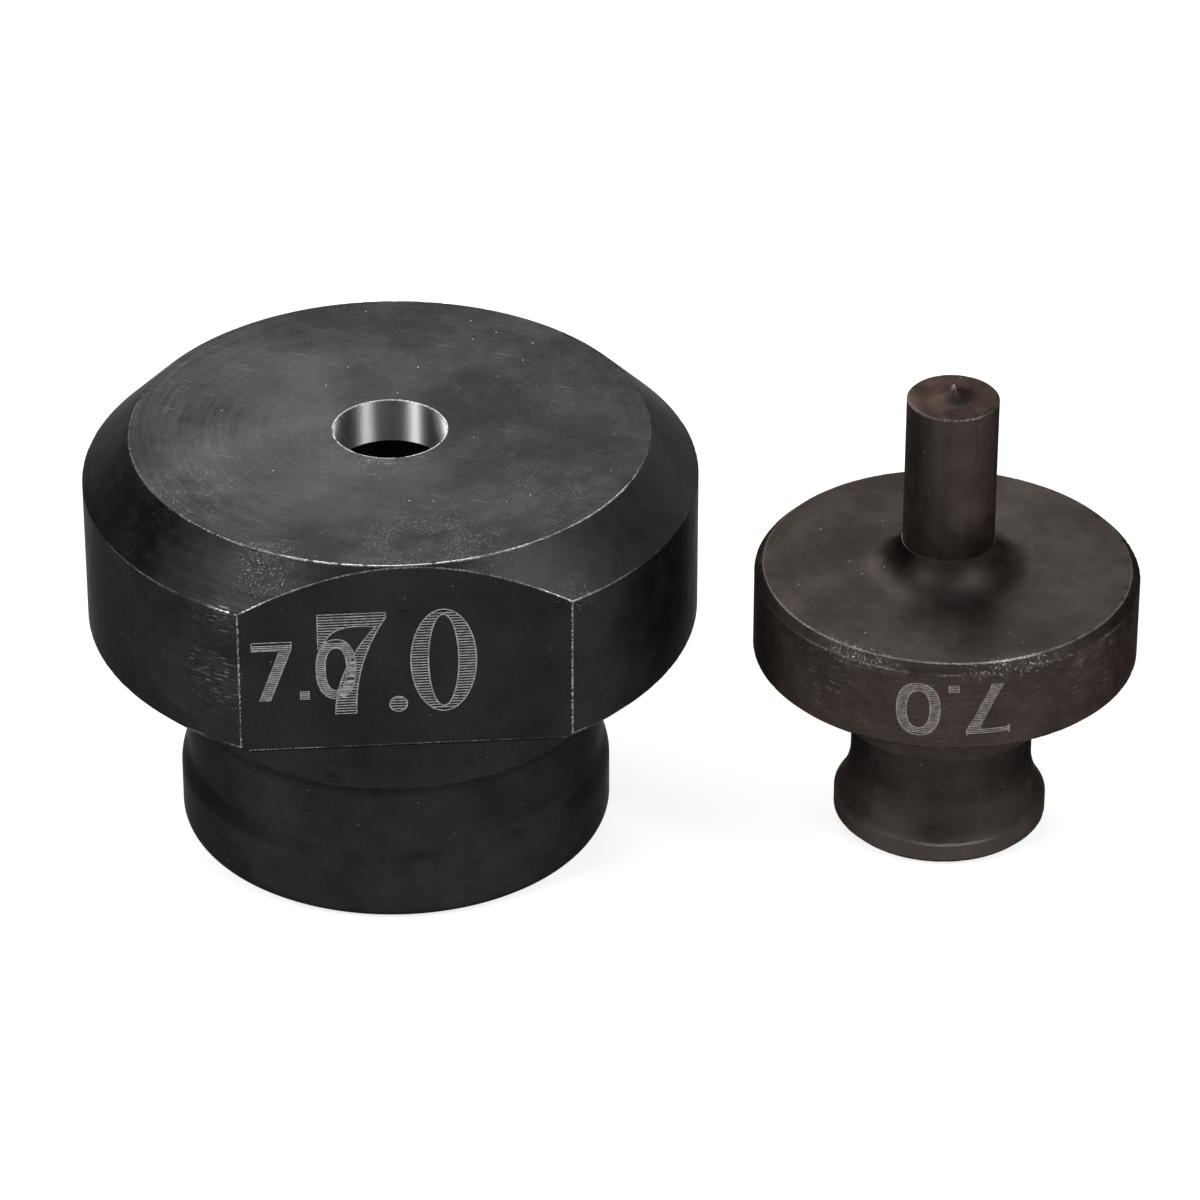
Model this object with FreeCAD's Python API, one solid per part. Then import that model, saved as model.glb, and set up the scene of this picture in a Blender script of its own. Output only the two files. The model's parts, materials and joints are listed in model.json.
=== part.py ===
import FreeCAD, Part
import math
import os

# A round die and its punch, as used in a portable hydraulic hole punch.
# Each is one turned solid. They stand side by side on one plane, z = 0,
# with the die's axis on Z and its one flat facing -Y.

# Driving dimensions, in millimetres and degrees

# Cutting pair: the hole that is punched, and the gap round the punch in the die
pin_d = 6.0
cutting_gap = 0.65

# Die head
die_head_d = 40.0
die_head_h = 13.6
die_head_bevel = 3.1
die_under_bevel = 0.6
die_flat_from_axis = 17.0
die_flat_foot_bevel = 0.35

# Die stem, from the head down: collar, neck, flare and foot land
die_stem_d = 28.5
die_collar_h = 4.9
die_neck_h = 4.8
die_flare_h = 1.25
die_land_h = 4.15
die_neck_depth = 0.45
die_foot_round = 0.8

# Die bore: a short cutting land, then a wider relief that lets the slug fall
bore_land_h = 3.0
bore_rim_bevel = 0.05
relief_step = 0.85
relief_cone_angle = 59.0

# Punch pin, its centring tip and the flared boss at its root
pin_h = 12.65
pin_end_bevel = 0.15
tip_d = 2.5
tip_h = 0.85
tip_end_d = 0.2
tip_hollow = 0.12
boss_d = 11.4
boss_h = 2.05
boss_lip = 0.06

# Punch flange
flange_d = 25.25
flange_h = 6.3
flange_top_bevel = 0.55
flange_under_bevel = 0.25

# Punch shank, from the flange down: collar, neck, flare and foot land
shank_d = 14.1
shank_collar_h = 4.5
shank_neck_h = 3.25
shank_flare_h = 3.35
shank_land_h = 1.6
shank_neck_depth = 1.05
shank_foot_bevel = 0.4

# How the pair stands: the gap between the two rims, and the bearing of the
# punch from the die, turned from +X
stand_gap = 3.7
stand_bearing = -6.0

# Sizes worked out from the driving ones
die_head_r = die_head_d / 2
die_stem_r = die_stem_d / 2
die_neck_r = die_stem_r - die_neck_depth
die_flare_top = die_land_h + die_flare_h
die_collar_foot = die_flare_top + die_neck_h
die_shoulder = die_collar_foot + die_collar_h
die_top = die_shoulder + die_head_h

pin_r = pin_d / 2
bore_r = pin_r + cutting_gap
relief_r = bore_r + relief_step
relief_top = die_top - bore_land_h
relief_cone_h = relief_step / math.tan(math.radians(relief_cone_angle))

flange_r = flange_d / 2
shank_r = shank_d / 2
shank_neck_r = shank_r - shank_neck_depth
shank_flare_top = shank_land_h + shank_flare_h
shank_collar_foot = shank_flare_top + shank_neck_h
flange_foot = shank_collar_foot + shank_collar_h
flange_top = flange_foot + flange_h
boss_top = flange_top + boss_h
pin_end = flange_top + pin_h

stand_distance = die_head_r + stand_gap + flange_r
stand_turn = math.radians(stand_bearing)
punch_x = stand_distance * math.cos(stand_turn)
punch_y = stand_distance * math.sin(stand_turn)


def at(radius, height):
    return FreeCAD.Vector(radius, 0, height)


class Outline:
    """Half of the section of a turned piece, drawn as radius and height."""

    def __init__(self, radius, height):
        self.start = at(radius, height)
        self.here = self.start
        self.edges = []

    def line(self, radius, height):
        end = at(radius, height)
        self.edges.append(Part.makeLine(self.here, end))
        self.here = end

    def arc(self, radius, height, centre_radius, centre_height):
        """The shorter arc to a point, round a centre."""
        end = at(radius, height)
        centre = at(centre_radius, centre_height)
        reach = (self.here - centre).Length
        way = (self.here - centre) + (end - centre)
        middle = centre + way.normalize() * reach
        self.edges.append(Part.Arc(self.here, middle, end).toShape())
        self.here = end

    def turned(self):
        self.edges.append(Part.makeLine(self.here, self.start))
        face = Part.Face(Part.Wire(self.edges))
        return face.revolve(FreeCAD.Vector(0, 0, 0), FreeCAD.Vector(0, 0, 1), 360)


def flare_radius(width, height):
    """Radius of an arc that leaves one wall as a tangent and covers a width and a height."""
    return (width**2 + height**2) / (2 * width)


def round_shoulder(outline, radius, foot, reach):
    """A quarter round from a flat foot up to a cylinder."""
    outline.line(radius - reach, foot)
    outline.arc(radius, foot + reach, radius - reach, foot + reach)


def make_die():
    section = Outline(relief_r, 0)

    # Foot, land and the flare that leads into the neck
    round_shoulder(section, die_stem_r, 0, die_foot_round)
    section.line(die_stem_r, die_land_h)
    flare = flare_radius(die_neck_depth, die_flare_h)
    section.arc(die_neck_r, die_flare_top, die_neck_r + flare, die_flare_top)

    # Neck, and the collar under the head
    section.line(die_neck_r, die_collar_foot)
    section.line(die_stem_r, die_collar_foot)
    section.line(die_stem_r, die_shoulder)

    # Head, with a broad bevel at the top and a small one underneath
    section.line(die_head_r - die_under_bevel, die_shoulder)
    section.line(die_head_r, die_shoulder + die_under_bevel)
    section.line(die_head_r, die_top - die_head_bevel)
    section.line(die_head_r - die_head_bevel, die_top)

    # Bore: broken rim, cutting land, drill cone and relief
    section.line(bore_r + bore_rim_bevel, die_top)
    section.line(bore_r, die_top - bore_rim_bevel)
    section.line(bore_r, relief_top)
    section.line(relief_r, relief_top - relief_cone_h)
    blank = section.turned()

    # One flat is milled on the head, above the shoulder, with its foot broken
    cutter_w = 2 * die_head_d
    outside = FreeCAD.Vector(-die_head_d, -cutter_w - die_flat_from_axis, die_shoulder)
    flat_cut = Part.makeBox(cutter_w, cutter_w, die_head_h, outside)
    foot_section = Part.makePolygon(
        [
            FreeCAD.Vector(-die_head_d, -die_flat_from_axis, die_shoulder),
            FreeCAD.Vector(-die_head_d, -die_flat_from_axis + die_flat_foot_bevel, die_shoulder),
            FreeCAD.Vector(-die_head_d, -die_flat_from_axis, die_shoulder + die_flat_foot_bevel),
            FreeCAD.Vector(-die_head_d, -die_flat_from_axis, die_shoulder),
        ]
    )
    foot_cut = Part.Face(foot_section).extrude(FreeCAD.Vector(cutter_w, 0, 0))
    return blank.cut(flat_cut).cut(foot_cut)


def make_punch():
    section = Outline(0, 0)

    # Shank: foot, land, flare, neck and the collar under the flange
    section.line(shank_r - shank_foot_bevel, 0)
    section.line(shank_r, shank_foot_bevel)
    section.line(shank_r, shank_land_h)
    flare = flare_radius(shank_neck_depth, shank_flare_h)
    section.arc(shank_neck_r, shank_flare_top, shank_neck_r + flare, shank_flare_top)
    section.line(shank_neck_r, shank_collar_foot)
    section.line(shank_r, shank_collar_foot)
    section.line(shank_r, flange_foot)

    # Flange
    section.line(flange_r - flange_under_bevel, flange_foot)
    section.line(flange_r, flange_foot + flange_under_bevel)
    section.line(flange_r, flange_top - flange_top_bevel)
    section.line(flange_r - flange_top_bevel, flange_top)

    # Boss: an arc that rises out of the flange to a narrow lip round the pin
    lip_r = pin_r + boss_lip
    boss_r = boss_d / 2
    sweep = flare_radius(boss_h, boss_r - lip_r)
    section.line(boss_r, flange_top)
    section.arc(lip_r, boss_top, boss_r, flange_top + sweep)
    section.line(pin_r, boss_top)

    # Pin, with a hollow-sided centring tip on its end face
    tip_r = tip_d / 2
    tip_end_r = tip_end_d / 2
    section.line(pin_r, pin_end - pin_end_bevel)
    section.line(pin_r - pin_end_bevel, pin_end)
    section.line(tip_r, pin_end)
    half_run = (tip_r - tip_end_r) / 2
    half_rise = tip_h / 2
    half_side = math.hypot(half_run, half_rise)
    side_radius = (half_side**2 + tip_hollow**2) / (2 * tip_hollow)
    out = (side_radius - tip_hollow) / half_side
    centre_r = tip_end_r + half_run + out * half_rise
    centre_h = pin_end + half_rise + out * half_run
    section.arc(tip_end_r, pin_end + tip_h, centre_r, centre_h)
    section.line(0, pin_end + tip_h)
    punch = section.turned()
    punch.translate(FreeCAD.Vector(punch_x, punch_y, 0))
    return punch


os.makedirs("parts", exist_ok=True)
make_die().exportStep("parts/die.step")
make_punch().exportStep("parts/punch.step")
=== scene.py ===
import json
import math

import bmesh
import bpy
from mathutils import Matrix, Vector


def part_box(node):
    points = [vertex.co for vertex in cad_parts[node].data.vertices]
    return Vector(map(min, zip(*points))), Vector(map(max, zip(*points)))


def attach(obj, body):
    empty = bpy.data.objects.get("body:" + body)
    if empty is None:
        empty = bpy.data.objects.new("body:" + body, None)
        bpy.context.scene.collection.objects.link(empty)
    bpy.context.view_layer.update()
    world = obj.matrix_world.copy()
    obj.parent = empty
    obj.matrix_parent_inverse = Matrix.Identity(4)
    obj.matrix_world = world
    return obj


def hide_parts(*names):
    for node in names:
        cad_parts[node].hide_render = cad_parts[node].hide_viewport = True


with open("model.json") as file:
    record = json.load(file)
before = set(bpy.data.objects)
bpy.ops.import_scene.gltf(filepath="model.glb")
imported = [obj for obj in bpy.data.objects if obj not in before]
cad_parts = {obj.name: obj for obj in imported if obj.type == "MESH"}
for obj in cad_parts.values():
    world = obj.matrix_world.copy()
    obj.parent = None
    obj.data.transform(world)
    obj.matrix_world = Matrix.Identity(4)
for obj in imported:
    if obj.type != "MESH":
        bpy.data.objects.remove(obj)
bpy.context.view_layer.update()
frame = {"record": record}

# Die
# The real die is turned from one bar of tool steel, milled flat on one side, bored through,
# hardened and blackened. Its cutting land is ground bright, and it drops into the press's base.

MM = 0.001

mounts = {mount["name"]: mount for mount in frame["record"]["mounts"]}


def mount_height(name):
    """The height of a mount's point, in millimetres."""
    return mounts[name]["pos_m"][2] / MM


def mount_radius(name):
    """The radius of a bore or pin mount, in millimetres."""
    return mounts[name]["dims"]["r_mm"]


die_top = mount_height("die_face")
die_shoulder = mount_height("die_shoulder")
die_head_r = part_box("die")[1].x / MM
die_stem_r = mount_radius("die_stem")
die_flat = -mounts["die_flat"]["pos_m"][1] / MM
bore_r = mount_radius("die_bore")
relief_r = mount_radius("slug_exit")
relief_top = mounts["slug_exit"]["dims"]["length_mm"]

head_bevel = 3.1
under_bevel = 0.6
flat_foot_bevel = 0.35
collar_foot = 10.2
neck_r = die_stem_r - 0.45
flare_top = 5.4
flare_ease = 0.45
land_top = 4.15
foot_round = 0.8
rim_bevel = 0.05
bore_land_foot = die_top - 3.0

# An edge is broken by its own small radius, with one row of faces held beside it.
broken_edge = 0.07
edge_steps = 3
edge_hold = 0.06

# The two edges of the bore's rim and the collar's foot have small radii of their own.
rim_break = 0.02
wall_break = 0.03
collar_break = 0.1

top_rows = (5.0, 7.5, 10.0, 12.5, 14.5, 15.8, 16.5)
bevel_rows = 24
flare_rows = 12
die_steps_round = 768
die_flat_steps = 108


class Section:
    """Half the outline of a turned piece, as radius and height in millimetres.
    Each point says how worn it is."""

    def __init__(self):
        self.points = []
        self.worn = []

    def add(self, r, z, worn=0.0):
        """One point, unless it is where the last one is."""
        if self.points and math.dist(self.points[-1], (r, z)) < 1e-5:
            self.worn[-1] = max(self.worn[-1], worn)
            return
        self.points.append((r, z))
        self.worn.append(worn)

    def run(self, r, z, steps=1):
        """A straight run to a point, in equal steps."""
        r0, z0 = self.points[-1]
        for k in range(1, steps + 1):
            self.add(r0 + (r - r0) * k / steps, z0 + (z - z0) * k / steps)

    def edge(self, before, corner, after, radius=broken_edge, worn=1.0, hold=(True, True)):
        """A corner between two straight stretches, broken by a small radius."""
        corner = Vector(corner)
        back = (Vector(before) - corner).normalized()
        on = (Vector(after) - corner).normalized()
        half = back.angle(on) / 2
        reach = radius / math.tan(half)
        middle = corner + (back + on).normalized() * radius / math.sin(half)
        start = corner + back * reach - middle
        end = corner + on * reach - middle
        if hold[0]:
            self.add(*(corner + back * (reach + edge_hold)))
        for k in range(edge_steps + 1):
            spoke = start.normalized().slerp(end.normalized(), k / edge_steps)
            self.add(*(middle + spoke * radius), worn=worn)
        if hold[1]:
            self.add(*(corner + on * (reach + edge_hold)))

    def arc(self, r, z, leaving, steps):
        """An arc to a point that leaves the last one in a given direction."""
        start = Vector(self.points[-1])
        chord = Vector((r, z)) - start
        leaving = Vector(leaving).normalized()
        side = Vector((-leaving.y, leaving.x))
        radius = chord.length_squared / (2 * chord.dot(side))
        middle = start + side * radius
        spoke = start - middle
        turn = 2 * leaving.angle_signed(chord)
        for k in range(1, steps + 1):
            self.add(*(middle + Matrix.Rotation(-turn * k / steps, 2) @ spoke))


def die_section():
    """The die's outline: top, bevel, side, shoulder, stem, foot, relief, land and rim."""
    rim = (bore_r + rim_bevel, die_top)
    wall = (bore_r, die_top - rim_bevel)
    crown = (die_head_r - head_bevel, die_top)
    brow = (die_head_r, die_top - head_bevel)
    hem = (die_head_r, die_shoulder + under_bevel)
    sole = (die_head_r - under_bevel, die_shoulder)
    collar = (die_stem_r, collar_foot)
    step = (neck_r, collar_foot)
    cut = Section()
    cut.edge(wall, rim, crown, radius=rim_break, hold=(False, True))
    for r in top_rows:
        cut.add(r, die_top)
    cut.edge(rim, crown, brow)
    # The rows down the bevel are spaced by where the flat cuts them.
    widest = math.sqrt(die_head_r ** 2 - die_flat ** 2)
    for k in range(bevel_rows):
        r = math.hypot(die_flat, widest * k / bevel_rows)
        cut.add(r, die_top - (r - crown[0]))
    cut.edge(crown, brow, hem)
    cut.run(die_head_r, die_shoulder + under_bevel + 0.2, 7)
    cut.edge(brow, hem, sole, hold=(False, True))
    cut.add(die_head_r - 0.25, die_shoulder + flat_foot_bevel)
    cut.edge(hem, sole, (die_stem_r, die_shoulder), hold=(True, False))
    cut.add(die_stem_r, die_shoulder)
    cut.run(die_stem_r, collar_foot + 0.3, 4)
    cut.edge((die_stem_r, die_shoulder), collar, step, radius=collar_break, hold=(True, False))
    cut.add(neck_r, collar_foot)
    cut.add(neck_r, collar_foot - edge_hold)
    # The flare is eased at both ends, so it catches no hard line of light.
    ease_top, ease_foot = flare_top + flare_ease, land_top - flare_ease
    cut.run(neck_r, ease_top, 5)
    for k in range(1, flare_rows + 1):
        share = (1 - math.cos(math.pi * k / flare_rows)) / 2
        z = ease_top + (ease_foot - ease_top) * k / flare_rows
        cut.add(neck_r + (die_stem_r - neck_r) * share, z)
    cut.run(die_stem_r, foot_round, 4)
    cut.arc(die_stem_r - foot_round, 0, (0, -1), 10)
    cut.run(relief_r + 0.1, 0, 4)
    cut.add(relief_r, 0.1)
    cut.run(relief_r, relief_top, 5)
    cut.run(bore_r, bore_land_foot, 1)
    cut.run(bore_r, wall[1] - edge_hold, 5)
    cut.edge((bore_r, bore_land_foot), wall, rim, radius=wall_break, worn=0.0, hold=(False, False))
    cut.add(*cut.points[0])
    return cut


def flat_rows(cut):
    """How far from the axis the flat cuts each row, and half the angle that its columns take."""
    cuts, angles = [], []
    full = math.acos(die_flat / die_head_r)
    ease_from, ease_to = die_head_r - head_bevel, bore_r + 4.0
    for r, z in cut.points:
        distance = die_flat - max(0.0, die_shoulder + flat_foot_bevel - z)
        on_head = z > die_shoulder - 1e-3 and r > die_stem_r + 1e-3
        if on_head and r >= distance - 1e-6:
            cuts.append(distance)
            angles.append(math.acos(min(1.0, distance / r)))
        elif z > die_top - head_bevel and r > bore_r + rim_bevel / 2:
            cuts.append(0.0)
            ease = min(1.0, max(0.0, (ease_from - r) / (ease_from - ease_to)))
            angles.append(full * ease)
        else:
            cuts.append(0.0)
            angles.append(full)
    return cuts, angles


class Tree:
    """A node tree, built one node a call. An input is a value, a socket, a node for its first
    output, or None to leave it."""

    def __init__(self, tree):
        self.tree = tree

    def add(self, kind, inputs=(), **settings):
        node = self.tree.nodes.new(kind)
        for name, value in settings.items():
            setattr(node, name, value)
        pairs = inputs.items() if isinstance(inputs, dict) else enumerate(inputs)
        for key, value in pairs:
            self.feed(node.inputs[key], value)
        return node

    def feed(self, socket, value):
        if isinstance(value, bpy.types.Node):
            value = value.outputs[0]
        if isinstance(value, bpy.types.NodeSocket):
            self.tree.links.new(value, socket)
        elif value is not None:
            socket.default_value = value

    def math(self, operation, a, b=None, c=None):
        return self.add("ShaderNodeMath", (a, b, c), operation=operation)

    def chain(self, operation, a, others):
        for b in others:
            a = self.math(operation, a, b)
        return a

    def times(self, a, *others):
        return self.chain("MULTIPLY", a, others)

    def plus(self, a, *others):
        return self.chain("ADD", a, others)

    def most(self, a, *others):
        return self.chain("MAXIMUM", a, others)

    def off(self, share):
        """1 where a share is 0, and 0 where it is 1."""
        return self.math("SUBTRACT", 1.0, share)

    def mix(self, share, a, b):
        """a where the share is 0, b where it is 1."""
        return self.add("ShaderNodeMix", (share, None, a, b))

    def join(self, x=0.0, y=0.0, z=0.0):
        return self.add("ShaderNodeCombineXYZ", (x, y, z))

    def split(self, vector):
        return self.add("ShaderNodeSeparateXYZ", (vector,)).outputs

    def vector(self, operation, a, b=None, scale=None):
        node = self.add("ShaderNodeVectorMath", (a, b), operation=operation)
        self.feed(node.inputs[3], scale)
        return node.outputs["Value" if operation in ("LENGTH", "DISTANCE") else "Vector"]

    def ramp(self, value, low, high, to_low=0.0, to_high=1.0):
        """A smooth step from to_low at low to to_high at high."""
        given = {"Value": value, "From Min": low, "From Max": high, "To Min": to_low, "To Max": to_high}
        return self.add("ShaderNodeMapRange", given, interpolation_type="SMOOTHSTEP")

    def fade(self, value, low, high):
        """1 up to low, falling smoothly to 0 at high."""
        return self.ramp(value, low, high, 1.0, 0.0)

    def noise(self, vector, scale, detail=2.0, roughness=0.5):
        given = {"Vector": vector, "Scale": scale, "Detail": detail, "Roughness": roughness}
        return self.add("ShaderNodeTexNoise", given)


# Points closer than this, in metres, are one.
same_spot = 2e-7


def section_mesh(name, cut, cuts, angles):
    """The section as a chain of points in metres, with what the lathe tree needs to know."""
    mesh = bpy.data.meshes.new(name)
    points = [(r * MM, 0.0, z * MM) for r, z in cut.points]
    mesh.from_pydata(points, [(k, k + 1) for k in range(len(points) - 1)], [])
    columns = {"worn": cut.worn, "flat_at": [c * MM for c in cuts], "half_angle": angles}
    for key, values in columns.items():
        mesh.attributes.new(key, "FLOAT", "POINT").data.foreach_set("value", values)
    return mesh


def start_tree(name, inputs):
    """An empty Geometry Nodes tree with named inputs, and what they give."""
    tree = bpy.data.node_groups.new(name, "GeometryNodeTree")
    for label, kind in inputs.items():
        tree.interface.new_socket(label, in_out="INPUT", socket_type="NodeSocket" + kind)
    tree.interface.new_socket("Piece", in_out="OUTPUT", socket_type="NodeSocketGeometry")
    make = Tree(tree)
    return make, make.add("NodeGroupInput").outputs


def end_tree(make, given, shape):
    """The end of a tree: the shape at its axis, made real and given its finish."""
    moved = make.add("GeometryNodeSetPosition", {"Geometry": shape, "Offset": given["Axis"]})
    real = make.add("GeometryNodeRealizeInstances", (moved,))
    finished = make.add("GeometryNodeSetMaterial", {"Geometry": real})
    make.feed(finished.inputs["Material"], given["Finish"])
    make.add("NodeGroupOutput", (finished,))
    return make.tree


def lathe_tree():
    """Geometry Nodes that turn a section about Z, mill its flat and knock its worn edges."""
    make, given = start_tree("lathe", {
        "Section": "Geometry", "Steps round": "Int", "Flat steps": "Int", "Axis": "Vector",
        "Nick depth": "Float", "Nick size": "Float", "Seed": "Float", "Finish": "Material",
    })
    section, round_steps, flat_steps = given["Section"], given["Steps round"], given["Flat steps"]

    rows = make.add("GeometryNodeAttributeDomainSize", (section,), component="MESH")
    columns = make.plus(round_steps, 1.0)
    sheet = make.add("GeometryNodeMeshGrid", {"Vertices X": rows, "Vertices Y": columns})
    index = make.add("GeometryNodeInputIndex")
    row = make.math("FLOOR", make.math("DIVIDE", make.plus(index, 0.5), columns))
    column = make.math("SUBTRACT", index, make.times(row, columns))

    def of_row(kind, value):
        node = make.add("GeometryNodeSampleIndex", data_type=kind, domain="POINT")
        make.feed(node.inputs["Geometry"], section)
        make.feed(node.inputs["Value"], value)
        make.feed(node.inputs["Index"], row)
        return node

    def named(name):
        node = make.add("GeometryNodeInputNamedAttribute", {"Name": name}, data_type="FLOAT")
        return of_row("FLOAT", node)

    place = make.split(of_row("FLOAT_VECTOR", make.add("GeometryNodeInputPosition")))
    r, z = place[0], place[2]
    half, flat_at, worn = named("half_angle"), named("flat_at"), named("worn")

    # Columns up to the flat's last one cross the flat, and the others go round the rest.
    across = make.math("DIVIDE", column, make.most(flat_steps, 1.0))
    across = make.math("SUBTRACT", make.times(across, 2.0), 1.0)
    left = make.math("SUBTRACT", column, flat_steps)
    share = make.math("DIVIDE", left, make.math("SUBTRACT", round_steps, flat_steps))
    rest = make.math("SUBTRACT", 2 * math.pi, make.times(half, 2.0))
    round_angle = make.plus(half, make.times(share, rest))
    in_flat = make.math("LESS_THAN", column, flat_steps)
    is_cut = make.math("GREATER_THAN", flat_at, 0.0)
    angle = make.mix(in_flat, round_angle, make.times(across, half))
    x = make.times(r, make.math("SINE", angle))
    y = make.times(r, make.math("COSINE", angle))
    flat_x = make.times(make.times(r, make.math("SINE", half)), across)
    on_flat = make.times(in_flat, is_cut)
    x = make.mix(on_flat, x, flat_x)
    y = make.mix(on_flat, y, flat_at)
    turned = make.join(x, make.times(y, -1.0), z)
    placed = make.add("GeometryNodeSetPosition", {"Geometry": sheet, "Position": turned})

    # The two columns where the flat ends are worn as an edge is.
    beside = make.math("COMPARE", column, flat_steps, 0.5)
    first = make.math("COMPARE", column, 0.0, 0.5)
    flat_edge = make.times(is_cut, make.most(beside, first))
    worn = make.most(worn, flat_edge)
    kept = make.add("GeometryNodeStoreNamedAttribute", {"Geometry": placed, "Name": "worn"})
    make.feed(kept.inputs["Value"], worn)
    merged = make.add("GeometryNodeMergeByDistance", {"Geometry": kept, "Distance": same_spot})

    spot = make.add("GeometryNodeInputPosition")
    seeded = make.vector("ADD", spot, make.join(given["Seed"], 0.0, 0.0))
    finer = make.math("DIVIDE", 1.0, given["Nick size"])
    knocked = make.ramp(make.noise(make.vector("SCALE", seeded, scale=finer), 1.0), 0.5, 0.8)
    edge = make.add("GeometryNodeInputNamedAttribute", {"Name": "worn"}, data_type="FLOAT")
    depth = make.times(make.times(edge, knocked), given["Nick depth"])
    normal = make.add("GeometryNodeInputNormal")
    inwards = make.vector("SCALE", normal, scale=make.times(depth, -1.0))
    nicked = make.add("GeometryNodeSetPosition", {"Geometry": merged, "Offset": inwards})
    return end_tree(make, given, nicked)


lathe = lathe_tree()


def in_scene(name, data):
    """A new object of some data, linked to the scene."""
    thing = bpy.data.objects.new(name, data)
    bpy.context.scene.collection.objects.link(thing)
    return thing


def by_nodes(source, tree, name, **inputs):
    """A plain mesh object of what a tree makes of a source mesh. Inputs are named as its sockets are."""
    source = in_scene(source.name, source)
    modifier = source.modifiers.new(name, "NODES")
    modifier.node_group = tree
    for socket in tree.interface.items_tree:
        key = socket.name.replace(" ", "_").lower()
        if key in inputs:
            modifier[socket.identifier] = inputs[key]
    source.update_tag()
    ready = source.evaluated_get(bpy.context.evaluated_depsgraph_get())
    mesh = bpy.data.meshes.new_from_object(ready)
    mesh.name = name
    mesh.materials.clear()
    mesh.materials.append(inputs["finish"])
    mesh.polygons.foreach_set("material_index", [0] * len(mesh.polygons))
    source.modifiers.remove(modifier)
    bpy.data.objects.remove(source)
    return in_scene(name, mesh)


def face_outwards(piece, sharp=None):
    """Joins doubles, turns all faces outwards and shades them smooth up to a sharp angle."""
    shape = bmesh.new()
    shape.from_mesh(piece.data)
    bmesh.ops.remove_doubles(shape, verts=shape.verts, dist=same_spot)
    bmesh.ops.dissolve_degenerate(shape, edges=shape.edges, dist=same_spot / 2)
    bmesh.ops.recalc_face_normals(shape, faces=shape.faces)
    for face in shape.faces:
        face.smooth = True
    shape.to_mesh(piece.data)
    shape.free()
    if sharp:
        piece.data.set_sharp_from_angle(angle=math.radians(sharp))


class Finish(Tree):
    """A material's tree, with the piece's own coordinates in millimetres."""

    def __init__(self, name, centre=(0.0, 0.0)):
        self.material = bpy.data.materials.new(name)
        self.material.use_nodes = True
        super().__init__(self.material.node_tree)
        self.tree.nodes.clear()
        self.shader = self.add("ShaderNodeBsdfPrincipled")
        self.add("ShaderNodeOutputMaterial", (self.shader,))
        where = self.add("ShaderNodeTexCoord").outputs["Object"]
        given = {"Vector": where, "Location": (-centre[0] / MM, -centre[1] / MM, 0.0),
                 "Scale": (1 / MM, 1 / MM, 1 / MM)}
        self.place = self.add("ShaderNodeMapping", given)
        self.x, self.y, self.z = self.split(self.place)
        self.r = self.vector("LENGTH", self.join(self.x, self.y))

    def mix_colour(self, share, a, b):
        node = self.add("ShaderNodeMix", data_type="RGBA")
        self.feed(node.inputs[0], share)
        self.feed(node.inputs[6], a)
        self.feed(node.inputs[7], b)
        return node.outputs[2]

    def mottle(self, scale, detail, roughness):
        """Noise through the whole piece."""
        return self.noise(self.place, scale, detail, roughness)

    def vary(self, noise, amount, *others):
        """Noise about its middle, by an amount."""
        return self.times(self.plus(noise, -0.5), amount, *others)

    def depth(self, **slope):
        """How deep a point lies under the plane or cone where the sum of its slopes is zero."""
        total = slope.get("at", 0.0)
        length = math.hypot(*(abs(slope[k]) for k in "ryz" if k in slope))
        for key in "ryz":
            if key in slope:
                total = self.plus(self.times(getattr(self, key), slope[key]), total)
        return self.times(total, 1 / length) if abs(length - 1) > 1e-6 else total

    def line(self, a, b, width, ragged):
        """A worn line where two surfaces meet, ragged along its sides."""
        apart = self.most(self.math("ABSOLUTE", a), self.math("ABSOLUTE", b))
        uneven = self.plus(apart, self.vary(ragged, width * 1.6))
        return self.fade(uneven, width * 0.45, width)

    def dotted(self, dots, low, high=1.0):
        """A line's strength between and on its dots."""
        return self.ramp(dots, 0.0, 1.0, low, high)

    def near(self, x, y, z, reach):
        """1 at a point, falling to 0 at the given reach from it."""
        gap = self.vector("DISTANCE", self.place, (x, y, z))
        return self.fade(gap, reach * 0.35, reach)

    def spots(self, *spots):
        """The same for a list of places, each with its reach and its weight."""
        return [self.times(self.near(x, y, z, reach), weight) for x, y, z, reach, weight in spots]

    def specks(self, scale, share, size, seed=0.0):
        """Small round specks, on the given share of cells."""
        shifted = self.vector("ADD", self.place, (seed, seed * 1.7, seed * 0.3))
        cells = self.add("ShaderNodeTexVoronoi", {"Vector": shifted, "Scale": scale})
        dot = self.fade(cells.outputs["Distance"], size * 0.5, size)
        pick = self.split(cells.outputs["Color"])[0]
        return self.times(dot, self.math("LESS_THAN", pick, share))

    def scratches(self, turn, fine, long, low, high, seed=0.0):
        """Straight fine scratches that lie one way, as thin stretched noise."""
        lie = self.add("ShaderNodeMapping", {"Vector": self.place, "Location": (seed, 0.0, 0.0),
                                             "Rotation": (0.0, 0.0, math.radians(turn))})
        drawn = self.vector("MULTIPLY", lie, (1 / long, 1 / fine, 1 / fine))
        return self.ramp(self.noise(drawn, 1.0, 2.0, 0.5), low, high)

    def rings(self, around):
        """Rings left by the lathe, which fade in and out along their length."""
        at = self.plus(self.times(self.r, 5.5), self.times(self.z, 9.0))
        drawn = self.join(at, self.times(self.x, around), self.times(self.y, around))
        return self.noise(drawn, 1.0, 3.0, 0.65)

    def shade(self, **values):
        """The shader's inputs, each a value or a socket, named as they are."""
        for name, value in values.items():
            self.feed(self.shader.inputs[name.replace("_", " ")], value)

    def bump(self, height, strength):
        raised = {"Height": height, "Strength": strength, "Distance": bump_distance}
        self.feed(self.shader.inputs["Normal"], self.add("ShaderNodeBump", raised))


bump_distance = 0.00002
# Painted light: the die's top is painted this much paler than its sides.
top_painted_light = 1.18
die_black = 0.023
die_bare = (0.46, 0.46, 0.46, 1.0)


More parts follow.
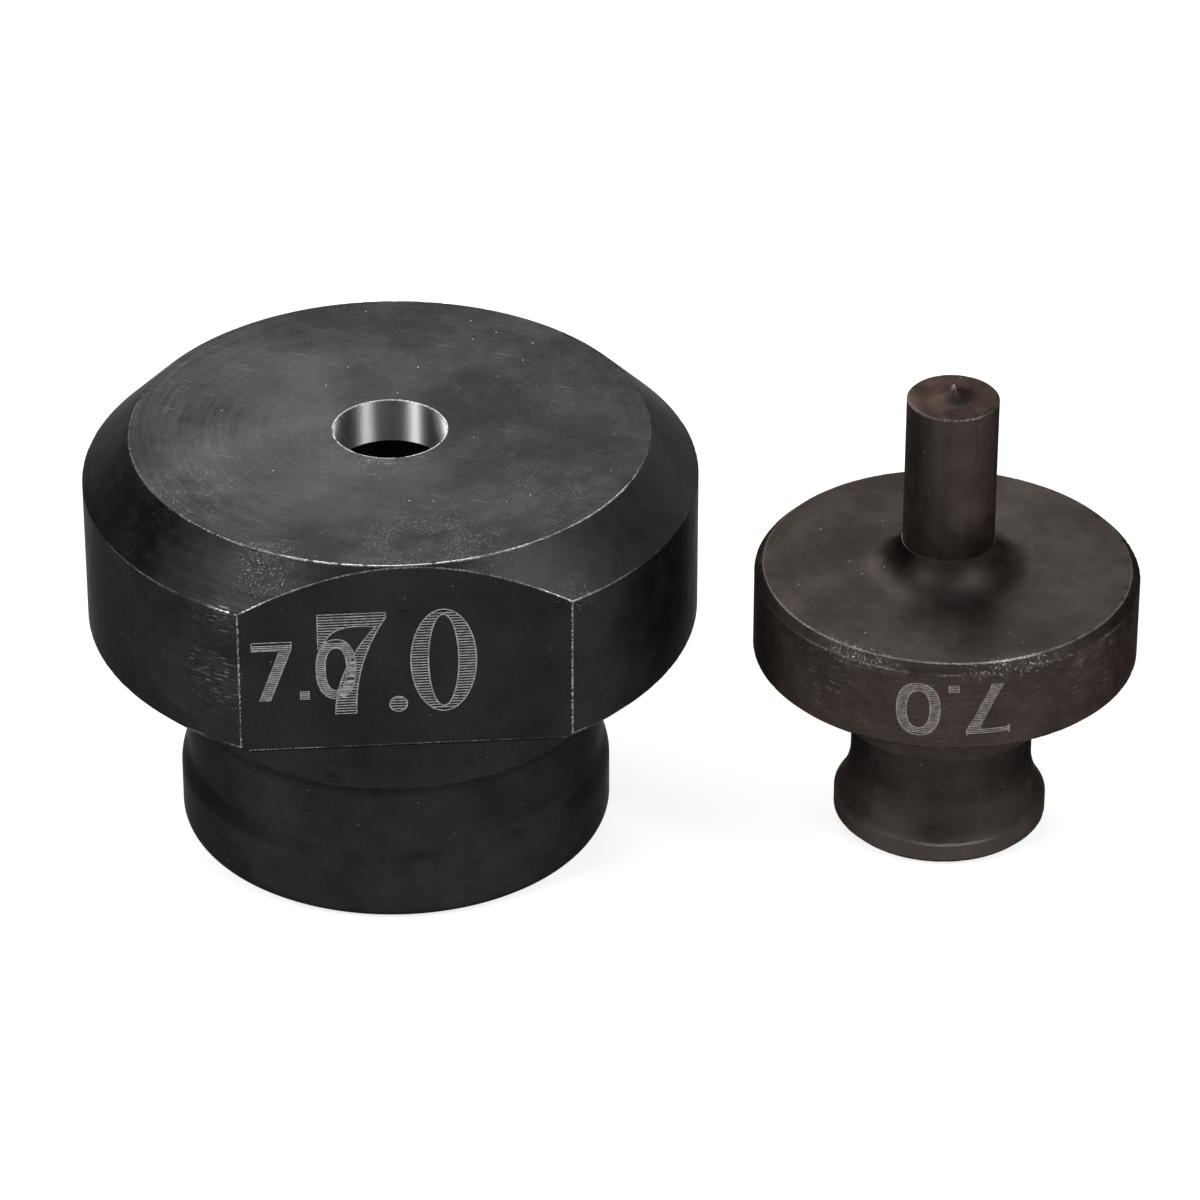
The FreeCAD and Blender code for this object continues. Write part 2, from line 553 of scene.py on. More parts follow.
def die_finish():
    """Neutral black oxide on turned steel, rubbed bright at its edges."""
    m = Finish("blackened_die_steel")
    top = m.depth(z=-1.0, at=die_top)
    bevel = m.depth(r=-1.0, z=-1.0, at=die_head_r - head_bevel + die_top)
    side = m.depth(r=-1.0, at=die_head_r)
    flat = m.depth(y=1.0, at=die_flat)
    under = m.depth(r=-1.0, z=1.0, at=die_head_r - under_bevel - die_shoulder)
    shoulder = m.depth(z=1.0, at=-die_shoulder)
    flat_foot = m.depth(y=1.0, z=1.0, at=die_flat - die_shoulder - flat_foot_bevel)
    rim = m.depth(r=1.0, z=-1.0, at=die_top - rim_bevel - bore_r)
    stem = m.depth(r=-1.0, at=die_stem_r)
    collar = m.depth(z=1.0, at=-collar_foot)

    # Where a point is: 1 on the flat, the top or the bevel, 0 elsewhere
    above = m.ramp(m.z, die_shoulder - 0.02, die_shoulder)
    on_flat = m.times(m.fade(flat, 0.01, 0.03), above)
    off_flat = m.off(on_flat)
    on_top = m.fade(top, 0.02, 0.05)
    on_bevel = m.times(m.fade(bevel, 0.02, 0.05), m.ramp(top, 0.02, 0.05))

    cloud = m.mottle(0.17, 5.0, 0.6)
    patch = m.mottle(0.6, 4.0, 0.65)
    grain = m.mottle(6.0, 3.0, 0.65)
    beads = m.mottle(4.2, 3.0, 0.7)
    spells = m.mottle(0.33, 3.0, 0.6)
    dots = m.ramp(m.mottle(7.0, 2.0, 0.6), 0.46, 0.56)
    front = m.ramp(m.y, -2.0, -die_flat)
    left = m.ramp(m.x, -4.0, -13.0)
    rings = m.rings(0.16)

    # The longest rubbed stretches are at the front, on the edges that meet the flat.
    crown_line = m.line(top, bevel, 0.065, beads)
    brow_line = m.line(bevel, side, 0.06, beads)
    arch_line = m.line(flat, bevel, 0.05, beads)
    post_line = m.line(flat, side, 0.042, beads)
    foot_line = m.line(flat, flat_foot, 0.05, beads)
    hem_line = m.most(m.line(side, under, 0.06, beads), m.line(under, shoulder, 0.07, beads))
    rim_band = m.times(m.fade(m.math("ABSOLUTE", rim), 0.02, 0.06), m.fade(top, 0.3, 0.5))
    collar_line = m.line(stem, collar, 0.1, beads)
    corners = m.most(*m.spots(
        (-10.5, -17.0, 25.6, 3.0, 1.0), (10.5, -17.0, 25.6, 3.4, 1.0),
        (-10.5, -17.0, 15.4, 1.6, 1.0), (10.5, -17.0, 15.4, 1.6, 1.0),
    ))
    bright_front = m.fade(m.vector("DISTANCE", m.place, (0.5, -16.5, 28.6)), 4.0, 13.0)
    right_front = m.times(m.near(13.0, -10.0, 28.6, 7.0), 0.6)
    on_crown = m.most(bright_front, right_front, m.times(front, dots, 0.5), m.times(dots, 0.12))
    on_brow = m.most(m.times(front, m.ramp(spells, 0.45, 0.6, 0.05, 0.55)), corners)
    on_arch = m.most(m.ramp(spells, 0.42, 0.62, 0.12, 0.5), corners)
    on_hem = m.most(m.ramp(spells, 0.5, 0.62, 0.0, 0.4), m.times(corners, 0.7))
    worn = m.most(
        m.times(crown_line, on_crown, m.ramp(spells, 0.36, 0.54, 0.3, 1.0), m.dotted(dots, 0.55)),
        m.times(brow_line, on_brow, m.dotted(dots, 0.4)),
        m.times(arch_line, on_arch, m.dotted(dots, 0.3)),
        m.times(post_line, m.dotted(dots, 0.06, 0.7)),
        m.times(foot_line, m.ramp(spells, 0.4, 0.6, 0.05, 0.5), m.dotted(dots, 0.2)),
        m.times(hem_line, on_hem, m.dotted(dots, 0.3)),
        m.times(rim_band, m.dotted(dots, 0.4, 0.8)),
        m.times(collar_line, m.ramp(spells, 0.4, 0.6, 0.0, 0.1)),
    )

    # Knocks: bright specks in clusters by the front edges, and a few anywhere.
    clusters = m.most(*m.spots(
        (-8.6, -15.6, 28.0, 3.0, 1.0), (10.8, -16.8, 25.9, 2.2, 1.0), (9.5, -9.0, 28.7, 6.0, 0.3),
        (-13.5, -7.0, 28.7, 5.0, 0.4), (-1.0, -4.6, 28.7, 2.2, 0.5), (-16.0, -9.0, 27.0, 3.0, 0.3),
        (-12.0, -15.4, 24.5, 2.5, 0.6), (2.0, -15.0, 28.6, 8.0, 0.45),
    ))
    nicks = m.noise(m.vector("ADD", m.place, (3.0, 5.0, 1.0)), 9.0, 3.0, 0.7)
    knocks = m.times(m.ramp(nicks, 0.61, 0.7), clusters, m.ramp(patch, 0.42, 0.56), off_flat, 0.75)
    fine_knocks = m.times(m.ramp(nicks, 0.53, 0.64), clusters, m.ramp(patch, 0.38, 0.54), off_flat, 0.15)
    dust = m.times(m.specks(1.3, 0.12, 0.09, 7.0), m.mix(on_top, 0.22, 0.4))
    stipple = m.times(
        m.most(m.specks(4.2, 0.4, 0.3, 13.0), m.specks(6.5, 0.4, 0.35, 17.0)),
        m.mix(on_top, 0.012, 0.05), m.ramp(patch, 0.4, 0.6, 0.25, 1.0),
    )
    hairs = m.times(
        m.most(m.scratches(24.0, 0.11, 2.6, 0.64, 0.78), m.scratches(-38.0, 0.1, 1.8, 0.66, 0.8, 9.0)),
        m.mix(on_top, 0.04, 0.13), m.ramp(cloud, 0.42, 0.6),
    )
    # Short level scuffs on the head's side, beside the flat's left end
    level = m.noise(m.join(m.times(m.x, 1.1), m.times(m.y, 1.1), m.times(m.z, 9.0)), 1.0, 2.0, 0.5)
    beside_flat = m.most(m.near(-12.2, -15.8, 20.5, 3.0), m.near(-11.6, -16.2, 25.0, 1.8))
    scuffs = m.times(m.ramp(level, 0.58, 0.72), beside_flat, 0.3)
    bare = m.most(worn, knocks, fine_knocks, dust, m.plus(hairs, stipple), scuffs)

    # Painted sheen and highlights: the top is painted lighter towards its left and back and darker in
    # spots to the right and front, and the bevel is painted lighter towards the right and in two spots at
    # its left, where it catches the light.
    painted_top_sheen = m.plus(*m.spots(
        (-7.0, -3.0, 28.7, 11.0, 0.45), (-2.0, 5.0, 28.7, 8.0, 0.12), (5.5, 3.0, 28.7, 5.5, -0.28),
        (-5.7, -13.6, 28.7, 3.4, -0.22), (12.0, -3.0, 28.7, 5.0, -0.12), (-7.0, 7.0, 28.7, 6.0, 0.3),
        (1.0, -10.0, 28.7, 9.0, 0.1),
    ))
    painted_bevel_highlights = m.plus(m.ramp(m.x, 3.0, 11.0, 0.0, 1.35), *m.spots(
        (-17.5, 5.0, 27.0, 8.0, 0.55), (-16.7, -7.8, 27.0, 5.0, -0.45), (-13.0, -13.0, 27.0, 5.0, 0.45),
    ))
    tone = m.plus(
        1.0,
        m.vary(cloud, 1.3),
        m.vary(patch, m.mix(on_flat, 1.0, 0.35)),
        m.vary(grain, m.mix(on_top, 0.7, 0.35)),
        m.vary(rings, m.mix(on_flat, m.mix(left, 0.5, 1.2), 0.0)),
        painted_top_sheen,
        # Painted highlights on the bevel
        m.times(on_bevel, painted_bevel_highlights),
    )
    tone = m.most(tone, m.mix(on_top, 0.62, 0.78))
    # Painted shade on the flare's left, where it would mirror the head's dark underside, and painted
    # light on its front. A painted shadow lies in a line under the collar.
    flare = m.times(
        m.ramp(m.z, land_top - 0.2, land_top + 0.3), m.fade(m.z, flare_top - 0.3, flare_top + 0.5))
    flare_left = m.ramp(m.x, -7.0, -11.0)
    flare_middle = m.fade(m.math("ABSOLUTE", m.plus(m.z, -(flare_top + land_top) / 2)), 0.2, 1.2)
    painted_light_on_flare = m.times(flare_middle, m.off(flare_left))
    # Painted shadow in a band under the collar's foot
    painted_shadow_under_collar = m.times(
        m.ramp(m.z, collar_foot - 1.1, collar_foot - 0.4), m.fade(m.z, collar_foot, collar_foot + 0.05))
    # Painted light and shade: the top is painted paler than the sides. The flat is darker, and the head
    # and the land are a little lighter.
    painted_light_and_shade = m.plus(m.mix(on_top, 1.0, top_painted_light), m.times(on_flat, -0.2), m.times(painted_shadow_under_collar, -0.28),
                  m.times(flare, flare_left, -0.35), m.times(painted_light_on_flare, 0.26), m.times(above, 0.15),
                  m.times(m.fade(m.z, land_top - 0.5, land_top + 0.1), 0.12), -0.15)
    dark = m.times(tone, painted_light_and_shade, die_black)
    black = m.join(dark, dark, dark)
    m.shade(
        Base_Color=m.mix_colour(bare, black, die_bare),
        Roughness=m.plus(m.mix(bare, 0.44, 0.34), m.vary(patch, 0.25)),
        Metallic=0.88, Specular_IOR_Level=0.25, Specular_Tint=(0.24, 0.24, 0.24, 1.0),
    )
    m.bump(m.plus(m.times(grain, 0.5), m.times(rings, m.mix(on_flat, 0.6, 0.0))), 0.4)
    return m.material


def ground_land_finish():
    """Bright steel, ground round the bore, so it shines in upright streaks."""
    m = Finish("ground_cutting_land")
    marks = m.noise(m.join(m.times(m.z, 30.0), m.times(m.x, 0.5), m.times(m.y, 0.5)), 1.0, 2.0, 0.5)
    m.shade(
        Base_Color=(0.62, 0.62, 0.62, 1.0), Roughness=m.plus(0.5, m.times(marks, 0.06)), Metallic=1.0,
        Anisotropic=1.0, Anisotropic_Rotation=0.25,
        Tangent=m.add("ShaderNodeTangent", direction_type="RADIAL", axis="Z"),
    )
    m.bump(marks, 0.6)
    return m.material


black_steel = die_finish()
bright_land = ground_land_finish()

die_cut = die_section()
die = by_nodes(
    section_mesh("die_section", die_cut, *flat_rows(die_cut)), lathe, "turned_die",
    steps_round=die_steps_round, flat_steps=die_flat_steps, axis=(0.0, 0.0, 0.0),
    nick_depth=0.00006, nick_size=0.0007, seed=0.31, finish=black_steel,
)
face_outwards(die, sharp=24)
die.data.materials.append(bright_land)
land_low, land_high = (bore_land_foot - 0.05) * MM, (die_top - rim_bevel + 0.02) * MM
for face in die.data.polygons:
    x, y, z = face.center
    if math.hypot(x, y) < (bore_r + 0.02) * MM and land_low < z < land_high:
        face.material_index = 1
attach(die, "die_body")
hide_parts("die")

# Die's number
# The pair's number is burnt through the oxide by a laser, struck twice: a large one with serifs
# over a smaller plain one. Each has an outline and a hatch of level lines inside it.

mark_line = 0.085
mark_proud = 0.011
mark_level = 17.95


def ring(x, y, across, up, steps, square=2.0):
    """A closed oval, or a squarer one where square is over 2."""
    loop = []
    for k in range(steps):
        c, s = math.cos(2 * math.pi * k / steps), math.sin(2 * math.pi * k / steps)
        loop.append((
            x + across * math.copysign(abs(c) ** (2 / square), c),
            y + up * math.copysign(abs(s) ** (2 / square), s),
        ))
    return loop


def bend(start, pull, end, steps):
    """Points along a curve that leaves start towards pull and comes to end."""
    points = []
    for k in range(1, steps + 1):
        t = k / steps
        points.append(tuple(
            (1 - t) ** 2 * a + 2 * t * (1 - t) * b + t * t * c for a, b, c in zip(start, pull, end)
        ))
    return points


def serif_number():
    """The loops of 7.0 in figures with serifs, one unit high."""
    seven = [(0.05, 1.0), (0.63, 1.0), (0.63, 0.95)]
    seven += bend((0.63, 0.95), (0.36, 0.52), (0.37, 0.0), 10)
    seven += [(0.19, 0.0)]
    seven += bend((0.19, 0.0), (0.2, 0.45), (0.54, 0.86), 10)
    seven += bend((0.54, 0.86), (0.13, 0.93), (0.09, 0.66), 8)
    seven += [(0.05, 0.66)]
    dot = ring(0.73, 0.075, 0.075, 0.075, 18)
    nought = [ring(1.12, 0.5, 0.28, 0.51, 48), ring(1.12, 0.5, 0.13, 0.46, 40)]
    return [seven, dot, *nought]


def plain_number():
    """The loops of 7.0 in plain figures, one unit high."""
    seven = [(0.0, 1.0), (0.58, 1.0), (0.58, 0.88), (0.26, 0.0), (0.1, 0.0), (0.41, 0.86), (0.0, 0.86)]
    dot = [(0.7, 0.0), (0.83, 0.0), (0.83, 0.13), (0.7, 0.13)]
    nought = [ring(1.23, 0.5, 0.29, 0.51, 40, 2.3), ring(1.23, 0.5, 0.16, 0.37, 32, 2.3)]
    return [seven, dot, *nought]


def strike(loops, left, foot, height, pitch, wide=1.0, turned=False):
    """Outlines and hatch lines of one strike, in millimetres, as open or closed runs of points."""
    loops = [[(x * height * wide, y * height) for x, y in loop] for loop in loops]
    runs = [(loop, True) for loop in loops]
    for row in range(1, int(height / pitch)):
        level = row * pitch
        crossings = []
        for loop in loops:
            for (x0, y0), (x1, y1) in zip(loop, loop[1:] + loop[:1]):
                if (y0 <= level) != (y1 <= level):
                    crossings.append(x0 + (x1 - x0) * (level - y0) / (y1 - y0))
        crossings.sort()
        for start, end in zip(crossings[::2], crossings[1::2]):
            steps = max(1, round((end - start) / 0.5))
            runs.append(([(start + (end - start) * k / steps, level) for k in range(steps + 1)], False))
    width = max(x for loop in loops for x, y in loop)
    placed = []
    for points, closed in runs:
        if turned:
            points = [(width - x, height - y) for x, y in points]
        placed.append(([(left + x, foot + y) for x, y in points], closed))
    return placed


def runs_mesh(name, runs):
    """Runs of points as a mesh of edges, flat in X and Y, in metres."""
    points, edges = [], []
    for run, closed in runs:
        first = len(points)
        points += [(x * MM, y * MM, 0.0) for x, y in run]
        edges += [(k, k + 1) for k in range(first, len(points) - 1)]
        if closed:
            edges.append((len(points) - 1, first))
    mesh = bpy.data.meshes.new(name)
    mesh.from_pydata(points, edges, [])
    return mesh


def mark_tree():
    """Geometry Nodes that lay a thin low bead along each line, on a flat or round a cylinder."""
    make, given = start_tree("laser_mark", {
        "Lines": "Geometry", "Line width": "Float", "Proud": "Float", "Out": "Float",
        "Round": "Float", "Axis": "Vector", "Finish": "Material",
    })
    half = make.times(given["Line width"], 0.5)
    lines = make.add("GeometryNodeMeshToCurve", (given["Lines"],))
    section = make.add("GeometryNodeCurvePrimitiveCircle", {"Resolution": 6, "Radius": half})
    capped = {"Curve": lines, "Profile Curve": section, "Fill Caps": True}
    bead = make.add("GeometryNodeCurveToMesh", capped)
    u, v, w = make.split(make.add("GeometryNodeInputPosition"))
    low = make.math("DIVIDE", make.times(w, given["Proud"]), half)
    out = make.plus(given["Out"], low)
    turn = make.math("DIVIDE", u, given["Out"])
    flat = make.join(u, make.times(out, -1.0), v)
    x = make.times(out, make.math("SINE", turn))
    y = make.times(out, make.math("COSINE", turn))
    wrapped = make.join(x, make.times(y, -1.0), v)
    place = make.add("ShaderNodeMix", data_type="VECTOR")
    make.feed(place.inputs[0], given["Round"])
    make.feed(place.inputs[4], flat)
    make.feed(place.inputs[5], wrapped)
    laid = make.add("GeometryNodeSetPosition", {"Geometry": bead, "Position": place.outputs[1]})
    return end_tree(make, given, laid)


def mark_finish(name, colour, centre=(0.0, 0.0)):
    """Steel that a laser has bared and greyed, a little uneven along each line."""
    m = Finish(name, centre)
    burn = m.ramp(m.mottle(3.5, 3.0, 0.7), 0.3, 0.7, 0.6, 1.3)
    m.shade(
        Base_Color=m.join(*(m.times(burn, share) for share in colour)),
        Roughness=m.ramp(burn, 0.6, 1.3, 0.6, 0.45), Metallic=0.5, Specular_IOR_Level=0.3,
    )
    return m.material


bead_line = mark_tree()
die_marks = strike(serif_number(), -5.9, mark_level, 7.4, 0.2)
die_marks += strike(plain_number(), -9.7, mark_level + 1.2, 4.3, 0.14)
die_mark = by_nodes(
    runs_mesh("die_mark_lines", die_marks), bead_line, "die_number_mark",
    line_width=mark_line * MM, proud=mark_proud * MM, out=die_flat * MM, round=0.0,
    axis=(0.0, 0.0, 0.0), finish=mark_finish("lasered_die_mark", (0.3, 0.3, 0.3)),
)
face_outwards(die_mark)
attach(die_mark, "die_body")

# Punch
# The real punch is turned from one bar of tool steel and finished brown-black. Its pin is ground
# to the hole's size with a small centring tip, and its shank is held in the press's ram.

punch_axis = mounts["punch_foot"]["pos_m"][:2]
pin_r = mount_radius("punch_pin")
shank_r = mount_radius("punch_shank")
flange_foot = mount_height("punch_shoulder")
flange_r = (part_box("punch")[1].x - punch_axis[0]) / MM
punch_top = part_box("punch")[1].z / MM

flange_h = 6.3
flange_top = flange_foot + flange_h
flange_top_bevel = 0.55
flange_under_bevel = 0.25
boss_r = 5.7
boss_top = flange_top + 2.05
boss_lip = 0.06
tip_r = 1.25
tip_h = 0.85
tip_end_r = 0.1
pin_end = punch_top - tip_h
pin_end_bevel = 0.15
shank_collar_foot = flange_foot - 4.5
shank_neck_r = shank_r - 1.05
shank_flare_top = 4.95
shank_land_top = 1.6
shank_foot_bevel = 0.4

pin_end_break = 0.04
crown_break = 0.06
brow_break = 0.1
hem_break = 0.05
shank_collar_break = 0.12
foot_break = 0.06

# The tip's hollow side leaves the end steeper than a straight one, by this turn in radians.
tip_side_turn = 0.38

boss_rows = 16
punch_steps_round = 640


def punch_section():
    """The punch's outline: tip, pin, boss, flange, shank and foot."""
    end = (pin_r - pin_end_bevel, pin_end)
    pin = (pin_r, pin_end - pin_end_bevel)
    crown = (flange_r - flange_top_bevel, flange_top)
    brow = (flange_r, flange_top - flange_top_bevel)
    hem = (flange_r, flange_foot + flange_under_bevel)
    sole = (flange_r - flange_under_bevel, flange_foot)
    collar = (shank_r, shank_collar_foot)
    step = (shank_neck_r, shank_collar_foot)
    foot = (shank_r, shank_foot_bevel)
    toe = (shank_r - shank_foot_bevel, 0)
    cut = Section()
    cut.add(0.0, punch_top)
    cut.add(tip_end_r, punch_top)
    leaving = Vector((tip_r - tip_end_r, -tip_h)).normalized()
    leaving.rotate(Matrix.Rotation(-tip_side_turn, 2))
    cut.arc(tip_r, pin_end, leaving, 8)
    cut.run(end[0] - 0.2, pin_end, 2)
    cut.edge((0, pin_end), end, pin, radius=pin_end_break)
    cut.edge(end, pin, (pin_r, boss_top), radius=pin_end_break)
    cut.run(pin_r, boss_top + 0.05, 14)
    cut.add(pin_r, boss_top)
    cut.add(pin_r + boss_lip, boss_top)
    cut.worn[-1] = 0.6
    drop = boss_top - flange_top
    spread = boss_r - pin_r - boss_lip
    radius = (spread ** 2 + drop ** 2) / (2 * drop)
    full = math.asin(spread / radius)
    for k in range(1, boss_rows + 1):
        turn = full * (1 - k / boss_rows)
        cut.add(boss_r - radius * math.sin(turn), flange_top + radius * (1 - math.cos(turn)))
    cut.run(crown[0] - 0.3, flange_top, 7)
    cut.edge((boss_r, flange_top), crown, brow, radius=crown_break)
    cut.edge(crown, brow, hem, radius=brow_break)
    cut.run(flange_r, hem[1] + 0.2, 6)
    cut.edge(brow, hem, sole, radius=hem_break, hold=(True, False))
    cut.edge(hem, sole, (shank_r, flange_foot), radius=hem_break, hold=(False, True))
    cut.add(shank_r, flange_foot)
    cut.run(shank_r, collar[1] + 0.3, 4)
    cut.edge((shank_r, flange_foot), collar, step, radius=shank_collar_break)
    cut.add(shank_neck_r + 0.05, shank_collar_foot)
    cut.add(shank_neck_r, shank_collar_foot - 0.05)
    cut.run(shank_neck_r, shank_flare_top, 4)
    cut.arc(shank_r, shank_land_top, (0, -1), 14)
    cut.run(shank_r, foot[1] + 0.1, 2)
    cut.edge((shank_r, shank_land_top), foot, toe, radius=foot_break, hold=(False, True))
    cut.edge(foot, toe, (0, 0), radius=foot_break)
    cut.run(0.0, 0.0, 5)
    return cut


shank_brown = (0.047, 0.0395, 0.0365, 1.0)
flange_brown = (0.056, 0.0495, 0.0455, 1.0)
pin_brown = (0.057, 0.044, 0.039, 1.0)
side_brown = (0.052, 0.0405, 0.036, 1.0)
punch_bare = (0.5, 0.46, 0.435, 1.0)


def punch_finish():
    """Warm brown-black oxide on turned steel, rubbed bright at the flange and the pin's end."""
    m = Finish("browned_punch_steel", centre=punch_axis)
    top = m.depth(z=-1.0, at=flange_top)
    bevel = m.depth(r=-1.0, z=-1.0, at=flange_r - flange_top_bevel + flange_top)
    side = m.depth(r=-1.0, at=flange_r)
    hem = m.depth(z=1.0, at=-flange_foot)
    end = m.depth(z=-1.0, at=pin_end)
    pin = m.depth(r=-1.0, at=pin_r)
    collar = m.depth(z=1.0, at=-shank_collar_foot)
    shank = m.depth(r=-1.0, at=shank_r)
    land = m.depth(z=-1.0, at=shank_land_top)

    on_side = m.times(m.fade(side, 0.02, 0.06), m.ramp(m.z, flange_foot - 0.1, flange_foot))
    on_pin = m.ramp(m.z, boss_top - 0.1, boss_top)
    on_top = m.times(m.fade(top, 0.02, 0.05), m.fade(m.z, boss_top - 0.1, boss_top))

    cloud = m.mottle(0.25, 5.0, 0.6)
    patch = m.mottle(0.9, 4.0, 0.65)
    grain = m.mottle(6.5, 3.0, 0.65)
    beads = m.mottle(4.5, 3.0, 0.7)
    spells = m.mottle(0.4, 3.0, 0.6)
    rings = m.rings(0.3)
    # Soft upright bands on the ground pin
    bands = m.noise(m.join(m.times(m.x, 1.1), m.times(m.y, 1.1), m.times(m.z, 0.07)), 1.0, 3.0, 0.6)
    front = m.ramp(m.y, 2.0, -flange_r)
    middle = m.near(0.6, -12.0, 19.0, 5.5)
    dots = m.ramp(m.mottle(7.0, 2.0, 0.6), 0.46, 0.56)

    crown_line = m.line(top, bevel, 0.07, beads)
    brow_line = m.line(bevel, side, 0.08, beads)
    hem_line = m.line(side, hem, 0.25, beads)
    end_line = m.line(end, pin, 0.17, beads)
    collar_line = m.line(collar, shank, 0.12, beads)
    land_line = m.line(land, shank, 0.12, beads)
    lip_line = m.line(m.depth(z=-1.0, at=boss_top), pin, 0.08, beads)
    rubbed = m.most(m.near(-7.0, -10.2, 18.8, 3.4), m.near(2.6, -12.1, 18.7, 4.2))
    worn = m.most(
        m.times(crown_line, m.most(middle, 0.3), m.dotted(dots, 0.6)),
        m.times(brow_line, m.ramp(spells, 0.42, 0.6, 0.03, 0.35), m.dotted(dots, 0.2)),
        m.times(hem_line, m.ramp(spells, 0.46, 0.6, 0.0, 0.5), m.dotted(dots, 0.2)),
        m.times(end_line, m.ramp(spells, 0.35, 0.5, 0.2, 0.75), m.dotted(dots, 0.25)),
        m.times(collar_line, m.ramp(spells, 0.4, 0.6, 0.05, 0.25), m.dotted(dots, 0.3)),
        m.times(land_line, m.ramp(m.x, 3.5, 0.0), m.ramp(m.x, -3.5, -1.0), 0.4),
        m.times(lip_line, 0.25),
        m.times(m.near(0.0, 0.0, punch_top, 0.4), 0.9),
    )
    worn = m.times(worn, m.mix(front, 0.25, 1.0))

    # Fine scratches run round the flange's side, where it was turned and handled.
    turned = m.noise(m.join(m.times(m.z, 14.0), m.times(m.x, 1.0), m.times(m.y, 1.0)), 1.0, 3.0, 0.6)
    handled = m.most(m.near(-9.6, -8.0, 16.5, 4.5), m.near(8.6, -9.3, 17.2, 4.5), 0.3)
    turned = m.times(m.ramp(turned, 0.55, 0.66), m.ramp(patch, 0.42, 0.58), handled, on_side, 0.2)
    uneven = m.plus(m.times(beads, 0.5), turned, m.times(grain, 0.5))
    scuffs = m.times(m.ramp(uneven, 0.52, 0.66), rubbed, m.fade(bevel, 0.0, 0.5), 0.6)
    dust = m.times(m.specks(1.4, 0.14, 0.1, 5.0), 0.3)
    bare = m.most(worn, turned, scuffs, dust)

    tone = m.plus(
        1.0,
        m.vary(cloud, 1.0),
        m.vary(patch, 0.8),
        m.vary(grain, m.mix(on_side, 0.3, 0.7)),
        m.vary(rings, m.mix(on_top, m.mix(on_pin, 0.6, 0.1), 0.2)),
        m.vary(bands, on_pin, 0.8),
    )
    on_boss = m.times(m.fade(top, -0.8, -0.02), m.off(on_pin))
    on_neck = m.fade(m.z, shank_collar_foot - 0.05, shank_collar_foot)
    on_land = m.fade(m.z, shank_land_top - 0.1, shank_land_top + 0.5)
    on_flare = m.fade(m.z, shank_land_top + 1.2, shank_flare_top)
    top_spots = m.spots(
        (-9.0, 6.0, 19.0, 12.0, -0.25), (0.0, -11.0, 19.0, 6.0, 0.45), (-6.0, -6.0, 19.0, 6.0, -0.1))
    tone = m.plus(
        tone,
        m.times(on_top, m.plus(*top_spots)),
        # Painted shade darkens the boss's left, where it would catch the left lamp. The whole boss is a
        # little darker too.
        m.times(on_boss, m.ramp(m.x, 0.0, -3.5), -0.4),
        m.times(on_boss, -0.15),
        # Painted highlight: a pale streak on the pin's front, right of its middle
        m.times(m.near(0.9, -2.85, 24.2, 1.9), 0.5),
        m.times(m.near(1.8, -2.4, 22.5, 2.6), on_pin, -0.3),
        m.times(m.ramp(m.z, 27.0, 29.0), on_pin, 0.1),
        m.times(m.fade(end, 0.02, 0.05), -0.22),
        # Painted light: the pin's left edge is painted lighter.
        m.times(m.ramp(m.x, -2.0, -2.8), on_pin, 0.4),
        # Painted shade: the neck under the flange is darker. The flare and the land below it are lighter.
        m.times(on_neck, -0.25),
        m.times(on_flare, 0.45),
        m.times(on_land, 0.35),
        # Painted light: the flange's side is painted lighter at its left.
        m.times(m.ramp(m.x, -8.5, -11.5), on_side, 0.7),
    )
    tone = m.most(tone, m.mix(on_boss, m.mix(on_top, 0.5, 0.7), 0.35))
    warm = m.mix_colour(on_top, shank_brown, flange_brown)
    warm = m.mix_colour(on_pin, warm, pin_brown)
    warm = m.mix_colour(on_side, warm, side_brown)
    m.shade(
        Base_Color=m.mix_colour(bare, m.vector("SCALE", warm, scale=tone), punch_bare),
        Roughness=m.plus(m.mix(bare, 0.56, 0.4), m.vary(patch, 0.25)),
        Metallic=0.98, Specular_IOR_Level=0.25, Specular_Tint=(0.12, 0.1, 0.1, 1.0),
    )
    height = m.plus(m.times(grain, 0.5), m.times(rings, m.mix(on_top, 0.5, 0.2)))
    m.bump(m.times(height, m.mix(on_pin, 1.0, 0.3)), 0.4)
    return m.material


brown_steel = punch_finish()
punch_cut = punch_section()
round_rows = len(punch_cut.points) * [0.0]
punch = by_nodes(
    section_mesh("punch_section", punch_cut, round_rows, round_rows), lathe, "turned_punch",
    steps_round=punch_steps_round, flat_steps=0, axis=(*punch_axis, 0.0),
    nick_depth=0.00005, nick_size=0.0006, seed=0.77, finish=brown_steel,
)
face_outwards(punch, sharp=24)
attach(punch, "punch_body")
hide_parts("punch")

# Punch's number
# The same number as the die's, so that the pair is kept together. It is burnt once, in plain
# figures, on the front of the flange, and reads from the pin's end.

punch_marks = strike(plain_number(), -4.8, flange_foot + 1.15, 3.8, 0.13, wide=1.28, turned=True)
punch_mark = by_nodes(
    runs_mesh("punch_mark_lines", punch_marks), bead_line, "punch_number_mark",
    line_width=mark_line * MM, proud=mark_proud * MM, out=flange_r * MM, round=1.0,
    axis=(*punch_axis, 0.0), finish=mark_finish("lasered_punch_mark", (0.23, 0.215, 0.2), punch_axis),
)
face_outwards(punch_mark)
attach(punch_mark, "punch_body")

# Floor and background
# A plain white table that runs on past the picture's edge. It keeps the pieces' soft shadow.


def seen_directly(tree):
    """1 for what the camera, a reflection or a view through glass sees, 0 for plain light."""
    path = tree.add("ShaderNodeLightPath").outputs
    seen = tree.most(path["Is Camera Ray"], path["Is Glossy Ray"])
    return tree.most(seen, path["Is Transmission Ray"])


